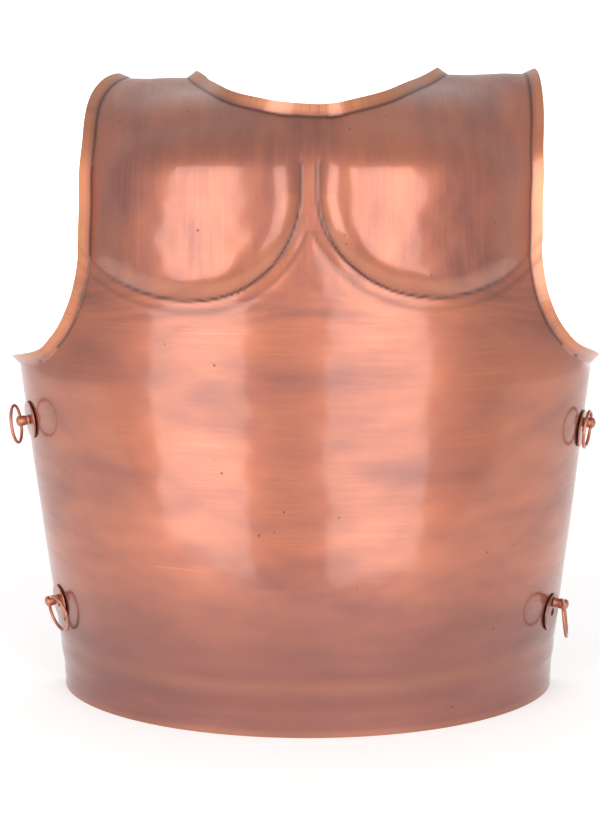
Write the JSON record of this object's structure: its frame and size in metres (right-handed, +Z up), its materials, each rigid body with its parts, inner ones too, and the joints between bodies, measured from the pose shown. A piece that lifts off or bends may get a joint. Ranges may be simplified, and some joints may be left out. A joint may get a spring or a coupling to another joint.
{
  "type": "muscle cuirass breastplate",
  "caption": "Copper-alloy breastplate shaped to the chest, with turned-out lips round neck and arms, and loose strap rings hung on side studs.",
  "frame": {"origin": "middle of the footprint, on the surface that the lower hem stands on", "axes": "+Z up along the torso, -Y the way the chest faces, +X to the viewer's right when the chest is seen from the front"},
  "size_m": [0.4441, 0.2076, 0.4709],
  "materials": {
    "plate": "antique copper, brushed, with purple-brown patina",
    "washer": "antique copper, darkened",
    "post": "antique copper, worn bright at the tip",
    "ring": "antique copper wire, polished by wear",
    "shoulder_stud": "antique copper, dark"
  },
  "bodies": {
    "plate": {"breast_plate": "plate", "washer_upper_left": "washer", "washer_upper_right": "washer", "washer_lower_left": "washer", "washer_lower_right": "washer", "post_upper_left": "post", "post_upper_right": "post", "post_lower_left": "post", "post_lower_right": "post", "shoulder_stud_left": "shoulder_stud", "shoulder_stud_right": "shoulder_stud"},
    "upper_left_ring": {"ring_upper_left": "ring"},
    "upper_right_ring": {"ring_upper_right": "ring"},
    "lower_left_ring": {"ring_lower_left": "ring"},
    "lower_right_ring": {"ring_lower_right": "ring"}
  },
  "joints": [
    {"name": "upper_left_swing", "type": "hinge", "parent": "plate", "child": "upper_left_ring", "pos_m": [-0.21281, 0.02298, 0.2106], "axis": [0.1304, -0.024, -0.9912], "range_deg": [-40, 165]},
    {"name": "upper_right_swing", "type": "hinge", "parent": "plate", "child": "upper_right_ring", "pos_m": [0.21375, 0.0312, 0.20781], "axis": [0.0381, -0.2121, 0.9765], "range_deg": [-12, 185]},
    {"name": "lower_left_swing", "type": "hinge", "parent": "plate", "child": "lower_left_ring", "pos_m": [-0.19346, 0.01634, 0.07401], "axis": [-0.1513, 0.5759, -0.8034], "range_deg": [-4, 190]},
    {"name": "lower_right_swing", "type": "hinge", "parent": "plate", "child": "lower_right_ring", "pos_m": [0.19387, 0.01076, 0.07302], "axis": [-0.1854, -0.5639, 0.8048], "range_deg": [-38, 168]}
  ]
}
